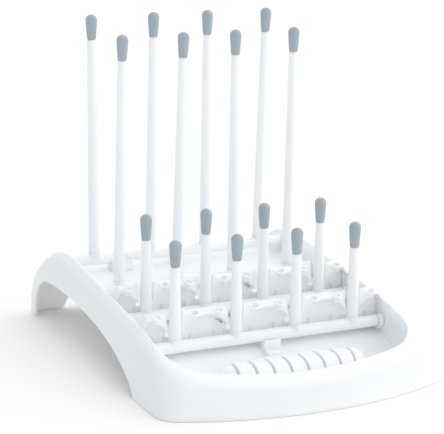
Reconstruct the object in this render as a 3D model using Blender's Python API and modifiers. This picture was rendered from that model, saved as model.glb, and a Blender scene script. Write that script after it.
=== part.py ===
"""Folding drying rack for baby bottles.

A four-legged moulded frame carries a drip deck and four cross bars. Each bar holds a row of upright
pegs with soft tips: two rows of long pegs at the back, two rows of short pegs in front. The bars turn
in the frame's side walls, so the pegs fold forward on to the deck.

Metres, +Z up. Origin: centre of the footprint, on the ground. Front is -Y, and X is the width.
"""

import math

import bmesh
import bpy
from mathutils import Matrix, Vector

NAME = "bottle_drying_rack"
GAP = 0.0003  # between touching pieces

# Pegs and bars
COLUMN_PITCH = 0.054
ROW_PITCH = 0.060
COLUMNS = 4
BAR_Y = [ROW_PITCH * step for step in (2, 1, 0, -1)]  # rear row first
BAR_Z = [0.0559, 0.0456, 0.0366, 0.0290]
BAR_RADIUS = 0.0050
PIVOT_RADIUS = 0.0032
PIVOT_LENGTH = 0.0030
BOSS_RADIUS = 0.0052
BOSS_TOP = 0.0070  # above the bar's axis
SOCKET_RADIUS = 0.0030
SOCKET_FLOOR = 0.0010  # above the bar's axis
PEG_FOOT_RADIUS = 0.0052
PEG_NECK_RADIUS = 0.0039
LONG_PEG_TOP = 0.2183  # top of the soft tip above the bar's axis
SHORT_PEG_TOP = 0.0879
LONG_PEG_SPLAY = [(-0.4, 0.7, 0.1, 1.2), (0.9, 1.3, -0.1, 0.5)]  # degrees towards +X, rows 1 and 2
TIP_LENGTH = 0.0214
TIP_RADIUS = 0.0050
TIP_FOOT_RADIUS = 0.0040
TIP_STEM_RADIUS = 0.0026
TIP_STEM_LENGTH = 0.0130

# Frame
WALL = 0.0026
RIM_HALF_WIDTH = 0.1111
BAR_HALF_LENGTH = RIM_HALF_WIDTH - 0.0030
INNER_WALL_SHIFT = 0.0022  # from the rim to the inner wall's face, and the inner wall's thickness
RIM_ROUNDING = 0.0008
CAVITY_DEPTH = 0.0090  # from the rim down to the gap between the skin and the inner wall
RIM_FRONT = -0.1422
RIM_REAR = 0.1425
RIM_FRONT_RADIUS = 0.0410
RIM_REAR_RADIUS = 0.0080
FOOT_HALF_WIDTH = 0.1274
FOOT_FRONT = -0.1681
FOOT_REAR = 0.1681
FOOT_FRONT_RADIUS = 0.0229
FOOT_REAR_RADIUS = 0.0100
FRONT_BOW_RADIUS = 0.2950
RIM_HEIGHT = 0.0558  # at Y = 0
RIM_SLOPE = 0.1163
RIM_DIP_START = -0.0400
RIM_DIP_CURVE = 0.7210
RIM_REAR_HEIGHT = 0.0478
RIM_REAR_LOW_X = 0.0920  # the rim is down to RIM_REAR_HEIGHT inside this
HUMP_START = 0.0880
HUMP_CURVE = 0.2500
FLARE_POWER = 1.9
REAR_FLARE_EXTRA = 1.4  # added to the power at the rear corners and the rear edge
REAR_FLARE_START = 0.0950
REAR_FLARE_LENGTH = 0.0350
LEAST_WALL_BELOW_CAVITY = 0.0030
SIDE_ARCH_HEIGHT = 0.0380
SIDE_ARCH_CROWN_Y = 0.1120
SIDE_ARCH_FRONT_Y = -0.0840
SIDE_ARCH_REAR_Y = 0.1500
REAR_ARCH_HEIGHT = 0.0300
REAR_ARCH_HALF_WIDTH = 0.0940
SIDE_STEPS = 14
SHOULDER_STEPS = 3
CORNER_STEPS = 5
EDGE_STEPS = 6
SKIN_LEVELS = (0, 0.33, 0.63, 0.87, 1.0)  # shares of the height from the lower edge to the rim
INSIDE_LEVELS = (1.0, 0.63, 0.33, 0)  # the same on the inside, from the cavity's top down
INNER_WALL_BELOW_DECK = 0.0040

# Deck
DECK_HALF_WIDTH = 0.1083
DECK_DROP = 0.0090  # deck surface below the bars' axes
DECK_THICKNESS = 0.0024
DECK_REAR = 0.1397
DECK_FRONT = -0.1393
DECK_FRONT_RADIUS = 0.0393
DECK_REAR_RADIUS = 0.0070
TRIM = 0.0050  # the deck is made this much too large all round, then trimmed to its outline
DECK_STEP_Y = -0.0560
BASIN_FLOOR = 0.0090
RIB_FRONT = 0.0056  # from the bar's axis to the front of the scalloped rib
RIB_DEPTH = 0.0100
RIB_HEIGHT = 0.0225  # above the bar's axis
RIB_WALL = 0.0030
WELL_RADIUS = 0.0270
NOTCH_HALF_WIDTH = 0.0075
NOTCH_FLOOR = 0.0045  # above the bar's axis
CRADLE_HALF_WIDTH = 0.0040
CRADLE_DEPTH = 0.0070  # each way from the bar's axis
CRADLE_LIP = 0.0015  # the seat's arms reach this far above the bar's axis
MOUND_HALF_LENGTH = 0.0680
MOUND_Y = -0.1060
MOUND_HALF_DEPTH = 0.0190
MOUND_TOP = 0.0250
SLOT_COUNT = 8
SLOT_PITCH = 0.0147
SLOT_WIDTH = 0.0018
SLOT_DEPTH = 0.0037

WHITE = (0.86, 0.87, 0.88, 1.0)
GREY_BLUE = (0.30, 0.37, 0.40, 1.0)


def clear_scene():
    for old in list(bpy.data.objects):
        bpy.data.objects.remove(old, do_unlink=True)


def new_collection(name, parent):
    made = bpy.data.collections.new(name)
    parent.children.link(made)
    return made


def principled(name, colour, roughness):
    material = bpy.data.materials.new(name)
    material.use_nodes = True
    shader = material.node_tree.nodes["Principled BSDF"]
    shader.inputs["Base Color"].default_value = colour
    shader.inputs["Roughness"].default_value = roughness
    shader.inputs["Metallic"].default_value = 0.0
    return material


def mesh_object(name, bm, collection, material=None):
    mesh = bpy.data.meshes.new(name)
    bmesh.ops.recalc_face_normals(bm, faces=bm.faces)
    bm.to_mesh(mesh)
    bm.free()
    made = bpy.data.objects.new(name, mesh)
    collection.objects.link(made)
    if material:
        mesh.materials.append(material)
        mesh.shade_smooth()
        mesh.set_sharp_from_angle(angle=math.radians(35))
    return made


def as_cutter(made):
    made.hide_render = True
    made.display_type = "WIRE"
    return made


def combine(target, other, operation):
    """Adds, cuts or keeps the overlap with another mesh object."""
    modifier = target.modifiers.new(f"{operation.lower()}_{other.name}", "BOOLEAN")
    modifier.operation = operation
    modifier.solver = "EXACT"
    modifier.object = other


def box(name, low, high, collection):
    bm = bmesh.new()
    bmesh.ops.create_cube(bm, size=1.0)
    low, high = Vector(low), Vector(high)
    bmesh.ops.scale(bm, vec=high - low, verts=bm.verts)
    bmesh.ops.translate(bm, vec=(low + high) / 2, verts=bm.verts)
    return mesh_object(name, bm, collection)


def cylinder(name, radius, start, end, collection, sides=16):
    """A cylinder between two points."""
    start, end = Vector(start), Vector(end)
    along = end - start
    bm = bmesh.new()
    turn = Vector((0, 0, 1)).rotation_difference(along).to_matrix().to_4x4()
    bmesh.ops.create_cone(
        bm, cap_ends=True, segments=sides, radius1=radius, radius2=radius, depth=along.length,
        matrix=Matrix.Translation((start + end) / 2) @ turn,
    )
    return mesh_object(name, bm, collection)


def turned(name, profile, place, collection, material, sides=12):
    """A solid of revolution about Z: the profile's (radius, height) points run top to bottom outside."""
    mesh = bpy.data.meshes.new(name)
    points = [(radius, 0, height) for radius, height in profile]
    mesh.from_pydata(points, [(i, i + 1) for i in range(len(points) - 1)], [])
    mesh.materials.append(material)
    made = bpy.data.objects.new(name, mesh)
    made.location = place
    collection.objects.link(made)
    screw = made.modifiers.new("turn", "SCREW")
    screw.steps = screw.render_steps = sides
    screw.use_merge_vertices = True
    screw.merge_threshold = 0.00001
    screw.use_smooth_shade = True
    return made


# Frame ---------------------------------------------------------------------------------------------


def arc(centre, radius, start, end, steps):
    """Points on an arc, both ends included; angles in degrees."""
    angles = [math.radians(start + (end - start) * i / steps) for i in range(steps + 1)]
    return [(centre[0] + radius * math.cos(a), centre[1] + radius * math.sin(a)) for a in angles]


def half_outline(half_width, front, rear, front_radius, rear_radius, arch_front):
    """The right half of a bow-fronted outline, from the rear middle to the front middle."""
    bow_y = front + FRONT_BOW_RADIUS
    corner_x = half_width - front_radius
    corner_y = bow_y - math.sqrt((FRONT_BOW_RADIUS - front_radius) ** 2 - corner_x**2)
    join = math.degrees(math.atan2(corner_y - bow_y, corner_x))
    side_start = rear - rear_radius
    points = [((half_width - rear_radius) * i / EDGE_STEPS, rear) for i in range(EDGE_STEPS)]
    points += arc((half_width - rear_radius, side_start), rear_radius, 90, 0, CORNER_STEPS)
    for i in range(1, SIDE_STEPS + 1):
        blend = (1 - math.cos(math.pi * i / SIDE_STEPS)) / 2
        points.append((half_width, side_start + (arch_front - side_start) * blend))
    for i in range(1, SHOULDER_STEPS):
        points.append((half_width, arch_front + (corner_y - arch_front) * i / SHOULDER_STEPS))
    points += arc((corner_x, corner_y), front_radius, 0, join, CORNER_STEPS)
    points += arc((0, bow_y), FRONT_BOW_RADIUS, join, -90, EDGE_STEPS)[1:]
    return points


def full_loop(half):
    return half + [(-x, y) for x, y in reversed(half[1:-1])]


def rim_height(x, y):
    """The rim slopes down to the front, and drops to the deck's rear edge between the two rear humps."""
    height = RIM_HEIGHT + RIM_SLOPE * y
    height -= max(y - HUMP_START, 0) ** 2 / HUMP_CURVE + max(RIM_DIP_START - y, 0) ** 2 / RIM_DIP_CURVE
    if y > RIM_REAR - RIM_REAR_RADIUS:
        across = (RIM_HALF_WIDTH - abs(x)) / (RIM_HALF_WIDTH - RIM_REAR_LOW_X)
        across = min(max(across, 0), 1)
        height += (RIM_REAR_HEIGHT - height) * across * across * (3 - 2 * across)
    return height


def arch(along, power):
    return max(1 - abs(along) ** power, 0) ** 0.6


def lower_edge(x, y):
    """Height of the skin's lower edge: an arch in each side and one at the rear, and solid at the front."""
    if y > FOOT_REAR - 0.001:
        height, share = REAR_ARCH_HEIGHT, arch(abs(x) / REAR_ARCH_HALF_WIDTH, 3)
    elif abs(x) < FOOT_HALF_WIDTH - 0.001:
        height, share = 0, 0
    elif y > SIDE_ARCH_CROWN_Y:
        along = (y - SIDE_ARCH_CROWN_Y) / (SIDE_ARCH_REAR_Y - SIDE_ARCH_CROWN_Y)
        height, share = SIDE_ARCH_HEIGHT, arch(along, 7)
    else:
        along = (SIDE_ARCH_CROWN_Y - y) / (SIDE_ARCH_CROWN_Y - SIDE_ARCH_FRONT_Y)
        height, share = SIDE_ARCH_HEIGHT, arch(along, 2)
    return height * share


def deck_height(y):
    """The deck's upper surface."""
    if y < DECK_STEP_Y:
        return BASIN_FLOOR
    slope = (BAR_Z[1] - BAR_Z[3]) / (BAR_Y[1] - BAR_Y[3])
    return BAR_Z[1] + slope * (y - BAR_Y[1]) - DECK_DROP


def skin_point(rim, foot, z):
    """A point on the outer skin at this height, on the curve that flares from the rim out to the foot."""
    rearward = min(max((rim[1] - REAR_FLARE_START) / REAR_FLARE_LENGTH, 0), 1)
    power = FLARE_POWER + REAR_FLARE_EXTRA * rearward * rearward * (3 - 2 * rearward)
    out = 1 - (z / rim_height(*rim)) ** power
    return (rim[0] + (foot[0] - rim[0]) * out, rim[1] + (foot[1] - rim[1]) * out)


def inward(loop, distance):
    """The loop moved towards its inside by this much."""
    moved = []
    for i, (x, y) in enumerate(loop):
        before, after = loop[i - 1], loop[(i + 1) % len(loop)]
        along = Vector((after[0] - before[0], after[1] - before[1])).normalized()
        moved.append((x + along.y * distance, y - along.x * distance))
    return moved


def frame_loops():
    """Closed loops round the frame's section: up the skin, over the rim, down the inner wall and back."""
    rim = full_loop(half_outline(
        RIM_HALF_WIDTH, RIM_FRONT, RIM_REAR, RIM_FRONT_RADIUS, RIM_REAR_RADIUS, SIDE_ARCH_FRONT_Y
    ))
    foot = full_loop(half_outline(
        FOOT_HALF_WIDTH, FOOT_FRONT, FOOT_REAR, FOOT_FRONT_RADIUS, FOOT_REAR_RADIUS, SIDE_ARCH_FRONT_Y
    ))
    top = [rim_height(*point) for point in rim]
    low = [lower_edge(*point) for point in foot]
    cavity = [z - CAVITY_DEPTH for z in top]
    wall_end = [
        min(deck_height(y) - INNER_WALL_BELOW_DECK, z - CAVITY_DEPTH - LEAST_WALL_BELOW_CAVITY)
        for (_, y), z in zip(rim, top)
    ]

    def raised(points, heights):
        return [Vector((x, y, z)) for (x, y), z in zip(points, heights)]

    def skin(shares_to, share):
        heights = [a + (b - a) * share for a, b in zip(low, shares_to)]
        return [skin_point(r, f, z) for r, f, z in zip(rim, foot, heights)], heights

    loops = []
    for share in SKIN_LEVELS:
        loops.append(raised(*skin(top, share)))
    inner = inward(rim, INNER_WALL_SHIFT)
    loops.append(raised(inner, [z - RIM_ROUNDING for z in top]))
    loops.append(raised(inner, wall_end))
    loops.append(raised(rim, wall_end))
    loops.append(raised(rim, cavity))
    for share in INSIDE_LEVELS:
        points, heights = skin(cavity, share)
        loops.append(raised(inward(points, WALL), heights))
    return loops


def build_frame(collection, cutters, material):
    bm = bmesh.new()
    rows = [[bm.verts.new(point) for point in loop] for loop in frame_loops()]
    count = len(rows[0])
    for lower, upper in zip(rows, rows[1:] + rows[:1]):
        for i in range(count):
            j = (i + 1) % count
            bm.faces.new((lower[i], lower[j], upper[j], upper[i]))
    bmesh.ops.triangulate(bm, faces=bm.faces)
    frame = mesh_object("base_frame", bm, collection, material)
    for row, (y, z) in enumerate(zip(BAR_Y, BAR_Z), start=1):
        for side in (-1, 1):
            name = f"pivot_hole_{row}_{'left' if side < 0 else 'right'}"
            start = (side * (RIM_HALF_WIDTH - 0.009), y, z)
            end = (side * (RIM_HALF_WIDTH + 0.0008), y, z)
            hole = cylinder(name, PIVOT_RADIUS + GAP, start, end, cutters, sides=14)
            combine(frame, as_cutter(hole), "DIFFERENCE")
    return frame


# Deck ----------------------------------------------------------------------------------------------


def build_deck(collection, cutters, material):
    # Side view: a sloping floor, a step down behind the front bar, and the flat basin
    rear, front = DECK_REAR + TRIM, DECK_FRONT - TRIM
    half_width = DECK_HALF_WIDTH + TRIM
    top = [
        (rear, deck_height(rear)),
        (DECK_STEP_Y, deck_height(DECK_STEP_Y)),
        (DECK_STEP_Y - 0.0005, BASIN_FLOOR),
        (front, BASIN_FLOOR),
    ]
    bottom = [
        (front, BASIN_FLOOR - DECK_THICKNESS),
        (DECK_STEP_Y + DECK_THICKNESS, BASIN_FLOOR - DECK_THICKNESS),
        (DECK_STEP_Y + DECK_THICKNESS, deck_height(DECK_STEP_Y) - DECK_THICKNESS),
        (rear, deck_height(rear) - DECK_THICKNESS),
    ]
    bm = bmesh.new()
    outline = [bm.verts.new((-half_width, y, z)) for y, z in top + bottom]
    face = bm.faces.new(outline)
    swept = bmesh.ops.extrude_face_region(bm, geom=[face])["geom"]
    moved = [item for item in swept if isinstance(item, bmesh.types.BMVert)]
    bmesh.ops.translate(bm, vec=(2 * half_width, 0, 0), verts=moved)
    deck = mesh_object("drip_deck", bm, collection, material)

    for row in (2, 3):
        add_rib(deck, row, cutters)
    for row in (1, 2, 3):
        add_cradle(deck, row, cutters)
    trim_to_frame(deck, cutters)
    add_mound(deck, cutters)
    return deck


def add_rib(deck, row, cutters):
    """A rib across the deck behind a bar, scalloped by round wells and notched for the folded pegs."""
    y, z = BAR_Y[row], BAR_Z[row]
    half_width = DECK_HALF_WIDTH + TRIM
    low = (-half_width, y + RIB_FRONT, deck_height(y + RIB_FRONT) - DECK_THICKNESS / 2)
    high = (half_width, y + RIB_FRONT + RIB_DEPTH, z + RIB_HEIGHT)
    rib = as_cutter(box(f"rib_{row + 1}", low, high, cutters))
    wall_y = y + RIB_FRONT + RIB_WALL
    for column in range(-2, 3):
        centre = (column * COLUMN_PITCH, wall_y + WELL_RADIUS)
        floor_z = deck_height(y) + 0.004
        start = (centre[0], centre[1], floor_z)
        end = (centre[0], centre[1], z + RIB_HEIGHT + 0.010)
        well = cylinder(f"well_{row + 1}_{column + 3}", WELL_RADIUS, start, end, cutters, sides=26)
        combine(rib, as_cutter(well), "DIFFERENCE")
    for column in range(COLUMNS):
        x = (column - 1.5) * COLUMN_PITCH
        low = (x - NOTCH_HALF_WIDTH, y, z + NOTCH_FLOOR)
        high = (x + NOTCH_HALF_WIDTH, y + RIB_FRONT + RIB_DEPTH + 0.01, z + RIB_HEIGHT + 0.01)
        notch = box(f"notch_{row + 1}_{column + 1}", low, high, cutters)
        combine(rib, as_cutter(notch), "DIFFERENCE")
    combine(deck, rib, "UNION")


def add_cradle(deck, row, cutters):
    """A post under the middle of a bar, with a round seat that the bar snaps into."""
    y, z = BAR_Y[row], BAR_Z[row]
    low = (-CRADLE_HALF_WIDTH, y - CRADLE_DEPTH, deck_height(y - CRADLE_DEPTH) - DECK_THICKNESS / 2)
    high = (CRADLE_HALF_WIDTH, y + CRADLE_DEPTH, z + CRADLE_LIP)
    post = as_cutter(box(f"cradle_{row + 1}", low, high, cutters))
    start = (-CRADLE_HALF_WIDTH - 0.002, y, z)
    end = (CRADLE_HALF_WIDTH + 0.002, y, z)
    seat = cylinder(f"cradle_seat_{row + 1}", BAR_RADIUS + GAP, start, end, cutters, sides=16)
    combine(post, as_cutter(seat), "DIFFERENCE")
    combine(deck, post, "UNION")


def trim_to_frame(deck, cutters):
    """Rounds the deck's front corners and bows its front edge, to follow the frame's rim."""
    half = half_outline(
        DECK_HALF_WIDTH, DECK_FRONT, DECK_REAR, DECK_FRONT_RADIUS, DECK_REAR_RADIUS, SIDE_ARCH_FRONT_Y
    )
    bm = bmesh.new()
    face = bm.faces.new([bm.verts.new((x, y, -0.01)) for x, y in full_loop(half)])
    swept = bmesh.ops.extrude_face_region(bm, geom=[face])["geom"]
    moved = [item for item in swept if isinstance(item, bmesh.types.BMVert)]
    bmesh.ops.translate(bm, vec=(0, 0, 0.15), verts=moved)
    combine(deck, as_cutter(mesh_object("deck_plan", bm, cutters)), "INTERSECT")


def add_mound(deck, cutters):
    """A low rounded mound across the basin, with drain slots across it."""
    bm = bmesh.new()
    bmesh.ops.create_uvsphere(bm, u_segments=28, v_segments=12, radius=1.0)
    height = MOUND_TOP - BASIN_FLOOR
    for vert in bm.verts:
        stretched = math.copysign(abs(vert.co.x) ** 0.55, vert.co.x)
        vert.co = (stretched * MOUND_HALF_LENGTH, vert.co.y * MOUND_HALF_DEPTH, vert.co.z * height)
    bmesh.ops.bisect_plane(
        bm, geom=bm.verts[:] + bm.edges[:] + bm.faces[:], plane_co=(0, 0, -DECK_THICKNESS / 2),
        plane_no=(0, 0, -1), clear_outer=True,
    )
    bmesh.ops.holes_fill(bm, edges=[edge for edge in bm.edges if edge.is_boundary], sides=0)
    bmesh.ops.triangulate(bm, faces=bm.faces)
    bmesh.ops.translate(bm, vec=(0, MOUND_Y, BASIN_FLOOR), verts=bm.verts)
    mound = as_cutter(mesh_object("mound", bm, cutters))
    for i in range(SLOT_COUNT):
        x = (i - (SLOT_COUNT - 1) / 2) * SLOT_PITCH
        low = (x - SLOT_WIDTH / 2, MOUND_Y - 0.03, MOUND_TOP - SLOT_DEPTH)
        high = (x + SLOT_WIDTH / 2, MOUND_Y + 0.03, MOUND_TOP + 0.01)
        combine(mound, as_cutter(box(f"drain_slot_{i + 1}", low, high, cutters)), "DIFFERENCE")
    combine(deck, mound, "UNION")


# Bars, pegs and tips -------------------------------------------------------------------------------


def column_x(column):
    return (column - (COLUMNS - 1) / 2) * COLUMN_PITCH


def build_bar(row, collection, cutters, material, pivot):
    """A bar with a socket boss for each peg and a pivot pin at each end. Its mesh is in the pivot's frame."""
    name = f"bar_{row + 1}"
    bar = cylinder(name, BAR_RADIUS, (-BAR_HALF_LENGTH, 0, 0), (BAR_HALF_LENGTH, 0, 0), collection)
    bar.data.materials.append(material)
    bar.parent = pivot
    reach = BAR_HALF_LENGTH + PIVOT_LENGTH
    pin = cylinder(f"pins_{row + 1}", PIVOT_RADIUS, (-reach, 0, 0), (reach, 0, 0), cutters, sides=14)
    pin.parent = pivot
    combine(bar, as_cutter(pin), "UNION")
    for column in range(COLUMNS):
        x = column_x(column)
        boss = cylinder(f"boss_{row + 1}_{column + 1}", BOSS_RADIUS, (x, 0, 0), (x, 0, BOSS_TOP), cutters, sides=14)
        boss.parent = pivot
        combine(bar, as_cutter(boss), "UNION")
    for column in range(COLUMNS):
        x = column_x(column)
        start = (x, 0, SOCKET_FLOOR)
        end = (x, 0, BOSS_TOP + 0.003)
        socket = cylinder(f"socket_{row + 1}_{column + 1}", SOCKET_RADIUS, start, end, cutters, sides=10)
        socket.parent = pivot
        combine(bar, as_cutter(socket), "DIFFERENCE")
    return bar


def peg_profile(top):
    """A tapering peg with a spigot for the bar's socket and a thin stem for the soft tip."""
    shoulder = top - TIP_LENGTH - GAP
    spigot = SOCKET_RADIUS - GAP
    return [
        (0, shoulder + TIP_STEM_LENGTH),
        (TIP_STEM_RADIUS - 0.0004, shoulder + TIP_STEM_LENGTH),
        (TIP_STEM_RADIUS, shoulder + TIP_STEM_LENGTH - 0.0004),
        (TIP_STEM_RADIUS, shoulder),
        (PEG_NECK_RADIUS, shoulder),
        (PEG_FOOT_RADIUS, BOSS_TOP + GAP),
        (spigot, BOSS_TOP + GAP),
        (spigot, SOCKET_FLOOR + GAP),
        (0, SOCKET_FLOOR + GAP),
    ]


def tip_profile(top):
    """A soft cap: a round-ended bulb that narrows towards its open lower end."""
    foot = top - TIP_LENGTH
    dome_centre = top - TIP_RADIUS
    bore = TIP_STEM_RADIUS + GAP
    points = []
    for i in range(5):
        angle = math.radians(90 - 22.5 * i)
        points.append((TIP_RADIUS * math.cos(angle) if i else 0, dome_centre + TIP_RADIUS * math.sin(angle)))
    return points + [
        (TIP_RADIUS * 0.985, dome_centre - 0.003),
        (TIP_FOOT_RADIUS, foot + 0.0006),
        (TIP_FOOT_RADIUS - 0.0005, foot),
        (bore, foot),
        (bore, foot + TIP_STEM_LENGTH + GAP),
        (0, foot + TIP_STEM_LENGTH + GAP),
    ]


def build_row(row, collection, cutters, white, grey):
    pivot = bpy.data.objects.new(f"fold_axis_{row + 1}", None)
    pivot.location = (0, BAR_Y[row], BAR_Z[row])
    collection.objects.link(pivot)
    build_bar(row, collection, cutters, white, pivot)
    top = LONG_PEG_TOP if row < 2 else SHORT_PEG_TOP
    size = "long" if row < 2 else "short"
    for column in range(COLUMNS):
        place = (column_x(column), 0, 0)
        label = f"{row + 1}_{column + 1}"
        peg = turned(f"{size}_peg_{label}", peg_profile(top), place, collection, white)
        tip = turned(f"soft_tip_{label}", tip_profile(top), place, collection, grey)
        for piece in (peg, tip):
            piece.parent = pivot
            if row < len(LONG_PEG_SPLAY):
                piece.rotation_euler.y = math.radians(LONG_PEG_SPLAY[row][column])


def main():
    clear_scene()
    parts = new_collection(NAME, bpy.context.scene.collection)
    cutters = new_collection("cutters", bpy.context.scene.collection)
    white = principled("white_plastic", WHITE, 0.38)
    grey = principled("grey_soft_plastic", GREY_BLUE, 0.55)
    build_frame(parts, cutters, white)
    build_deck(parts, cutters, white)
    for row in range(len(BAR_Y)):
        build_row(row, parts, cutters, white, grey)


main()
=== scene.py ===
"""Visual model of the folding bottle drying rack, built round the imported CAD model.

Metres, +Z up. Front is -Y, and X is the width. Row 1 is the rear row of pegs.
"""

import math

import bmesh
import bpy
import numpy as np
from mathutils import Matrix, Vector


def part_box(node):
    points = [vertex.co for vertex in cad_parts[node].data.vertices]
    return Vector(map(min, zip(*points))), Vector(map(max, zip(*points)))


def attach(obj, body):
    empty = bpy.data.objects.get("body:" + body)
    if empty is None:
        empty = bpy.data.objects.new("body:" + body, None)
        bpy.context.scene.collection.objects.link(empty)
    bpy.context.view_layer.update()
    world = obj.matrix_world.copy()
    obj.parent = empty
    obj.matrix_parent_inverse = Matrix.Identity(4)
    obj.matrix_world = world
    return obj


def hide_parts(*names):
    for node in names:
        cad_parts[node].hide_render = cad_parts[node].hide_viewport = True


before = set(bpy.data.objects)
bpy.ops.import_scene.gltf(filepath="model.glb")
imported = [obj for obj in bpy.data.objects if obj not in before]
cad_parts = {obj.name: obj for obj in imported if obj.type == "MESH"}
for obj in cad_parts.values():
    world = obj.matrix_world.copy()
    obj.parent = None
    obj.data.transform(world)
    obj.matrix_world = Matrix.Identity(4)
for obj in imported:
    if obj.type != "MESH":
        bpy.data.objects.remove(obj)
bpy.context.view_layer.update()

COLUMNS = 4
COLUMN_PITCH = 0.054
LONG_PEG_SPLAY = {1: (-0.4, 0.7, 0.1, 1.2), 2: (0.9, 1.3, -0.1, 0.5)}  # degrees towards +X

BAR_RADIUS, PIVOT_RADIUS = 0.0050, 0.0032
BAR_END_GAP = 0.0030  # the bar's thick part ends this far inside the rim's outline
SEAT_RADIUS = 0.0053  # a cradle's or collar's bore round a bar

# Frame shell. The rim is a sloping line that sags at its front and rear ends
RIM_HALF_WIDTH = 0.1111
RIM_WIDTH = 0.0022
RIM_FRONT, RIM_REAR = -0.1422, 0.1425
RIM_FRONT_RADIUS, RIM_REAR_RADIUS = 0.0410, 0.0080
RIM_HEIGHT_AT_MIDDLE, RIM_SLOPE = 0.0558, 0.1163
RIM_FRONT_SAG_Y, RIM_FRONT_SAG_LENGTH = -0.04, 0.7210
RIM_REAR_SAG_Y, RIM_REAR_SAG_LENGTH = 0.0880, 0.25
REAR_BRIDGE_HEIGHT, REAR_BRIDGE_HALF_WIDTH = 0.0478, 0.0920
FOOT_HALF_WIDTH = 0.1274
FOOT_FRONT, FOOT_REAR = -0.1681, 0.1681
FOOT_FRONT_RADIUS, FOOT_REAR_RADIUS = 0.0229, 0.0100
FRONT_BOW_RADIUS = 0.2950
WALL = 0.0026
CAVITY_DEPTH = 0.0090
CAVITY_SIDE = 0.0001  # the cavity behind the inner wall starts this far inside the rim's outline
INNER_WALL_BELOW_DECK, LEAST_WALL_BELOW_CAVITY = 0.0040, 0.0030
EDGE_ROUNDING = 0.0008
RIM_CROWN = 0.9  # height of the rim's rounding over its half width
FLARE_POWER, REAR_FLARE_EXTRA = 1.9, 1.4
REAR_FLARE_START, REAR_FLARE_LENGTH = 0.0950, 0.0350
SKIN_STEPS, CROWN_STEPS, CAVITY_STEPS = 18, 7, 12
REAR_STEPS, REAR_CORNER_STEPS, SIDE_STEPS = 30, 14, 70  # points along each stretch of the outline
LEAD_STEPS, FRONT_CORNER_STEPS, BOW_STEPS = 6, 18, 30
SIDE_ARCH_FRONT_Y, SIDE_ARCH_CROWN_Y, SIDE_ARCH_REAR_Y = -0.0840, 0.1120, 0.1500
SIDE_ARCH_HEIGHT = 0.0380
REAR_ARCH_HEIGHT, REAR_ARCH_HALF_WIDTH = 0.0300, 0.0940
SIDE_ARCH_FRONT_POWER, SIDE_ARCH_REAR_POWER, REAR_ARCH_POWER = 2, 7, 3
ARCH_ROUNDNESS = 0.6
NEAR_EDGE = 0.001  # a point of the foot's outline this close to a side belongs to it
PIVOT_HOLE_RADIUS, PIVOT_HOLE_INSIDE, PIVOT_HOLE_OUTSIDE = 0.0035, 0.009, 0.0008
SIDE_WALL_X = RIM_HALF_WIDTH - RIM_WIDTH + 0.0003  # pieces that meet a side wall reach into it

# Deck
DECK_DROP = 0.0090
DECK_THICKNESS = 0.0024
DECK_LAP = 0.0004  # the deck's edge runs this far into the frame's wall
DECK_STEP_Y = -0.0560
DECK_FILLET, BASIN_FILLET_EXTRA, FILLET_RISE = 0.0022, 0.0050, 0.0055
DECK_STATIONS, DECK_COLUMNS, DECK_CROWDING = 110, 96, 1.6
ROOT = 0.0020  # walls and posts on the deck start this far below its surface
BASIN_ROOT = 0.0010
BASIN_FLOOR = 0.0090
RAMP_TOP_Y, RAMP_FOOT_Y = -0.0530, -0.0800  # the scooped rear side of the basin

# Arcade walls behind the two front bars, measured from the bar's axis
BAY_HALF_WIDTH = COLUMN_PITCH / 2
SLOT_HALF_TOP, SLOT_HALF_FOOT = 0.0075, {3: 0.0067, 4: 0.0060}
SLOT_FLARE_Z, SLOT_FLARE_TOP_Z = 0.0180, 0.0240
SILL_TOP = {3: 0.0086, 4: 0.0070}
BAY_REACH = BAY_HALF_WIDTH - SLOT_HALF_TOP
ARCADE_TOP = 0.0268
LIP_TOP, LIP_FROM_RING, LIP_POWER, LIP_BACK_DROP = 0.0305, 0.001, 1.5, 0.0020
ARCH_CROWN, ARCH_SHOULDER, ARCH_SHAPE = 0.0240, 0.0125, 2.4
LEAST_HOOD = 0.0018
HOOD_ROUNDING = 0.0005
HOOD_FRONT, HOOD_EDGE = -0.0020, 0.0008
NICHE_EDGE, NICHE_BACK = 0.0062, 0.0088
SHEET = 0.0022
RING_X = 0.0107
RING_RADIUS, RING_BORE = 0.0045, 0.0031
RING_TILT_BACK, RING_TILT_OUT = 12, 10
RING_FROM_SIDE_WALL = 0.004
NOTCH_HALF_WIDTH, NOTCH_LOW, NOTCH_HIGH = 0.0009, 0.0010, 0.0070
NOTCH_FRONT, NOTCH_BACK = 0.004, 0.0096
WALL_LEVELS, BAY_STEPS = 6, 64
LATCH_BAY = {3: 0, 4: -1}
LATCH_X, LATCH_Z, LATCH_SLANT = 0.0156, 0.0152, 42
# Two corners of each block, before it is slanted and put in its place
LATCH_WALL = (-0.0046, NICHE_EDGE + 0.001, -0.0022), (0.0046, 0.0150, 0.0022)
LATCH_POCKET = (-0.0036, -0.0060, -0.0010), (0.0036, 0.0138, 0.0011)
END_CORNER_X, END_CORNER_SLOPE = 0.1040, 1.8  # the outermost bays' top drops to the side wall here

# Basin mound
MOUND_HALF_LENGTH, MOUND_HALF_DEPTH, MOUND_Y, MOUND_TOP = 0.0680, 0.0190, -0.1060, 0.0250
MOUND_SHOULDER_POWER, MOUND_END_POWER, MOUND_SIDE_POWER = 0.7, 0.62, 0.9
MOUND_SLOTS, MOUND_SLOT_PITCH, MOUND_SLOT_HALF_WIDTH = 8, 0.0147, 0.0013
MOUND_SLOT_FLOOR = 0.0135

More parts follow.
